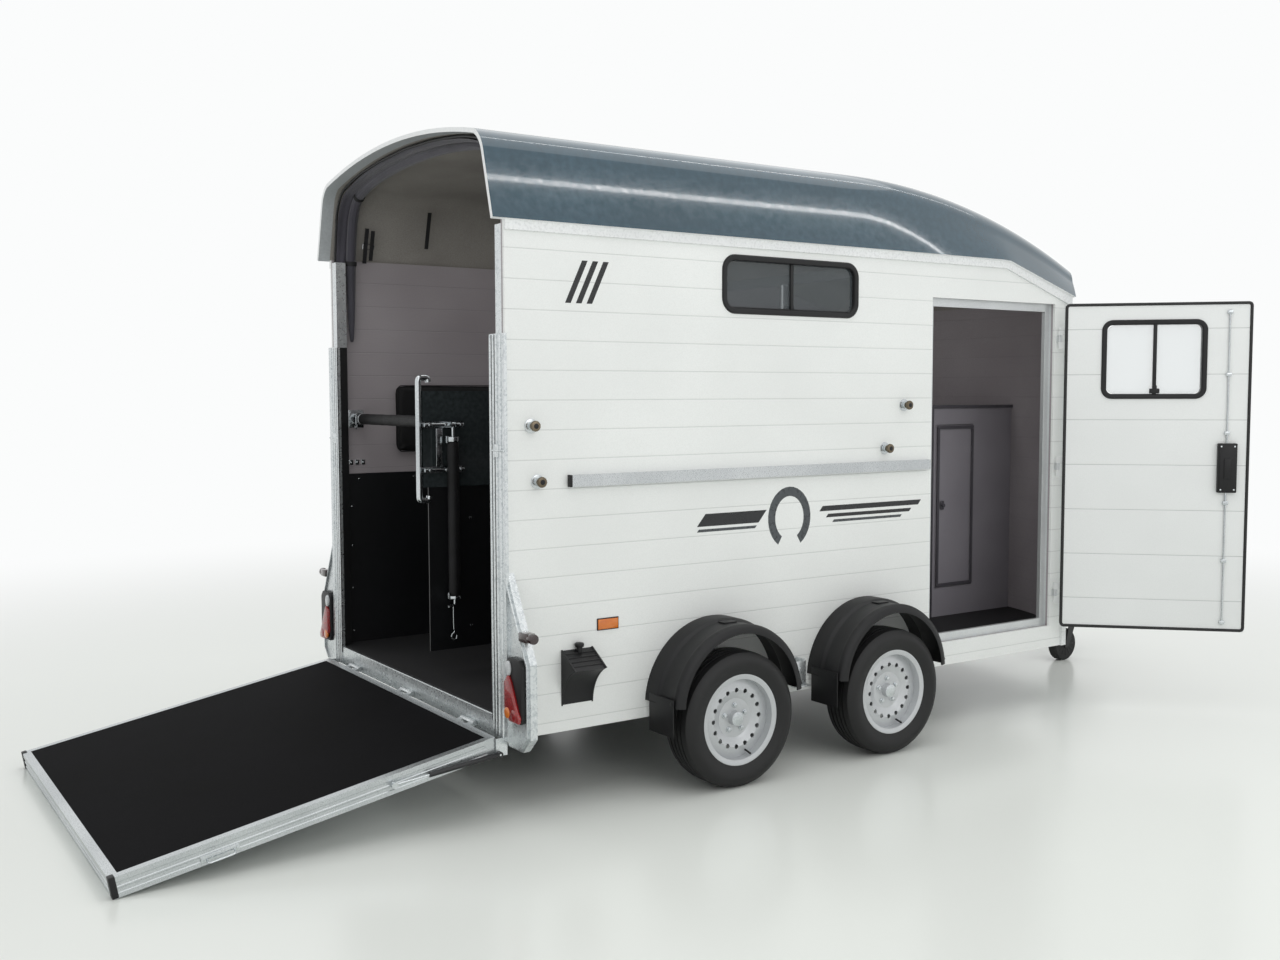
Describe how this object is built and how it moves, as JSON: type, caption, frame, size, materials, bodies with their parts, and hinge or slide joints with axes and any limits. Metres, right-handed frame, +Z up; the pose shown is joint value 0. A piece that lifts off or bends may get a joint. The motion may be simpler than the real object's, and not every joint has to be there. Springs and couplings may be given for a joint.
{
  "type": "horse trailer",
  "caption": "Enclosed horse trailer on a braked twin-axle chassis with a rear ramp, a partitioned hold, a groom door, a tack locker and a ball coupling.",
  "frame": {"origin": "on the ground under the middle of the whole trailer's bounding box, ramp and groom door open", "axes": "+X towards the coupling, +Y to the trailer's left side, +Z up"},
  "size_m": [6.5326, 2.7855, 2.7798],
  "materials": {
    "galvanised_steel": "hot-dip galvanised, dull spangle",
    "aluminium_planks": "pale silver coated planks",
    "front_panel": "pale silver coated sheet",
    "roof_shell": "glossy blue-grey moulded shell",
    "bright_rail": "brushed rail",
    "white_rail": "white coated profile",
    "door_frame": "anodised frame",
    "door_leaf": "pale silver coated leaf",
    "black_trim": "black moulded plastic",
    "window_glass": "tinted pane",
    "door_glass": "clear pane",
    "tyre": "black rubber",
    "rim": "silver painted steel",
    "floor_rubber": "fine-grained black rubber over board",
    "ramp_metal": "natural aluminium frame",
    "mat_rubber": "black rubber mat",
    "wall_lining": "black lining sheet",
    "padding": "black padded cover",
    "canvas": "dark grey rolled canvas",
    "partition_board": "smooth grey board",
    "zinc": "bright zinc",
    "strut_case": "black painted tube",
    "strut_rod": "polished rod",
    "lamp": "red lens",
    "locker": "grey panel",
    "black_steel": "black painted steel",
    "bellows": "ribbed rubber",
    "jockey_rubber": "solid rubber tyre"
  },
  "bodies": {
    "trailer_body": {"chassis_frame": "galvanised_steel", "axle_rear": "galvanised_steel", "axle_front": "galvanised_steel", "mudguards": "black_trim", "floor": "floor_rubber", "side_wall_right": "aluminium_planks", "side_wall_left": "aluminium_planks", "front_wall": "front_panel", "roof": "roof_shell", "top_rails": "white_rail", "rub_rails": "bright_rail", "rear_frame": "galvanised_steel", "tail_lamps": "lamp", "wheel_chocks": "black_trim", "window_frames": "black_trim", "window_panes": "window_glass", "door_frame": "door_frame", "partition_post": "zinc", "bar_sockets": "zinc", "breast_bars": "padding", "kick_panels": "wall_lining", "side_pads": "padding", "rear_canopy": "canvas", "tack_locker": "locker", "drawbar": "galvanised_steel", "jockey_clamp": "galvanised_steel", "overrun_housing": "black_steel", "drawtube_bellows": "bellows", "coupling_head": "zinc", "handbrake_lever": "black_steel"},
    "wheel_rear_right": {"rim_rear_right": "rim", "tyre_rear_right": "tyre"},
    "wheel_rear_left": {"rim_rear_left": "rim", "tyre_rear_left": "tyre"},
    "wheel_front_right": {"rim_front_right": "rim", "tyre_front_right": "tyre"},
    "wheel_front_left": {"rim_front_left": "rim", "tyre_front_left": "tyre"},
    "ramp": {"ramp_panel": "ramp_metal", "ramp_mat": "mat_rubber"},
    "strut_right": {"strut_cylinder_right": "strut_case"},
    "rod_right": {"strut_rod_right": "strut_rod"},
    "strut_left": {"strut_cylinder_left": "strut_case"},
    "rod_left": {"strut_rod_left": "strut_rod"},
    "groom_door": {"door_leaf": "door_leaf", "door_window_frame": "black_trim", "door_pane": "door_glass", "door_latch": "black_trim"},
    "partition": {"partition_panel": "partition_board", "partition_tube": "zinc", "partition_curtain": "wall_lining"},
    "bar_right": {"rear_bar_right": "padding"},
    "bar_left": {"rear_bar_left": "padding"},
    "locker_leaf": {"locker_door": "locker"},
    "jockey_outer": {"jockey_tube": "galvanised_steel"},
    "jockey_inner": {"jockey_stem": "zinc"},
    "jockey_caster": {"jockey_fork": "black_steel"},
    "jockey_roller": {"jockey_wheel": "jockey_rubber"}
  },
  "joints": [
    {"name": "wheel_rear_right_spin", "type": "hinge", "parent": "trailer_body", "child": "wheel_rear_right", "pos_m": [-0.789, -0.808, 0.291], "axis": [0, 1, 0], "continuous": true},
    {"name": "wheel_rear_left_spin", "type": "hinge", "parent": "trailer_body", "child": "wheel_rear_left", "pos_m": [-0.789, 1.308, 0.291], "axis": [0, 1, 0], "continuous": true},
    {"name": "wheel_front_right_spin", "type": "hinge", "parent": "trailer_body", "child": "wheel_front_right", "pos_m": [0.112, -0.808, 0.291], "axis": [0, 1, 0], "continuous": true},
    {"name": "wheel_front_left_spin", "type": "hinge", "parent": "trailer_body", "child": "wheel_front_left", "pos_m": [0.112, 1.308, 0.291], "axis": [0, 1, 0], "continuous": true},
    {"name": "ramp_hinge", "type": "hinge", "parent": "trailer_body", "child": "ramp", "pos_m": [-1.811, 0.25, 0.33], "axis": [0, 1, 0], "range_deg": [0, 100.14]},
    {"name": "strut_right_turn", "type": "hinge", "parent": "trailer_body", "child": "strut_right", "pos_m": [-1.827, -0.675, 0.262], "axis": [0, 1, 0], "range_deg": [0, 94.54]},
    {"name": "strut_right_stroke", "type": "slide", "parent": "strut_right", "child": "rod_right", "axis": [-0.995, 0, -0.0998], "range_m": [0, 0.09489]},
    {"name": "strut_left_turn", "type": "hinge", "parent": "trailer_body", "child": "strut_left", "pos_m": [-1.827, 1.175, 0.262], "axis": [0, 1, 0], "range_deg": [0, 94.54]},
    {"name": "strut_left_stroke", "type": "slide", "parent": "strut_left", "child": "rod_left", "axis": [-0.995, 0, -0.0998], "range_m": [0, 0.09489]},
    {"name": "groom_door_hinge", "type": "hinge", "parent": "trailer_body", "child": "groom_door", "pos_m": [1.496, -0.693, 1.28], "axis": [0, 0, 1], "range_deg": [-134.7, 0]},
    {"name": "partition_swing", "type": "hinge", "parent": "trailer_body", "child": "partition", "pos_m": [0.403, 0.25, 1.467], "axis": [0, 0, 1], "range_deg": [0, 20]},
    {"name": "bar_right_lift", "type": "hinge", "parent": "partition", "child": "bar_right", "pos_m": [-1.597, 0.188, 1.532], "axis": [1, 0, 0], "range_deg": [-90, 0]},
    {"name": "bar_left_swing", "type": "hinge", "parent": "trailer_body", "child": "bar_left", "pos_m": [-1.676, 1.1037, 1.545], "axis": [0, 0, 1], "range_deg": [0, 75]},
    {"name": "locker_hinge", "type": "hinge", "parent": "trailer_body", "child": "locker_leaf", "pos_m": [1.579, -0.045, 1.03], "axis": [0, 0, 1], "range_deg": [0, 90]},
    {"name": "jockey_height", "type": "slide", "parent": "trailer_body", "child": "jockey_outer", "axis": [0, 0, 1], "range_m": [0, 0.12]},
    {"name": "jockey_wind", "type": "slide", "parent": "jockey_outer", "child": "jockey_inner", "axis": [0, 0, 1], "range_m": [0, 0.035]},
    {"name": "jockey_swivel", "type": "hinge", "parent": "jockey_inner", "child": "jockey_caster", "pos_m": [2.543, 0.02497, 0.23], "axis": [0, 0, 1], "continuous": true},
    {"name": "jockey_wheel_spin", "type": "hinge", "parent": "jockey_caster", "child": "jockey_roller", "pos_m": [2.498, 0.02497, 0.1], "axis": [0, 1, 0], "continuous": true}
  ],
  "couplings": [
    {"joint": "strut_right_turn", "follows": "ramp_hinge", "ratio": 0.94106},
    {"joint": "strut_right_stroke", "follows": "ramp_hinge", "m_per_rad": 0.05412},
    {"joint": "strut_left_turn", "follows": "ramp_hinge", "ratio": 0.94106},
    {"joint": "strut_left_stroke", "follows": "ramp_hinge", "m_per_rad": 0.05412}
  ]
}
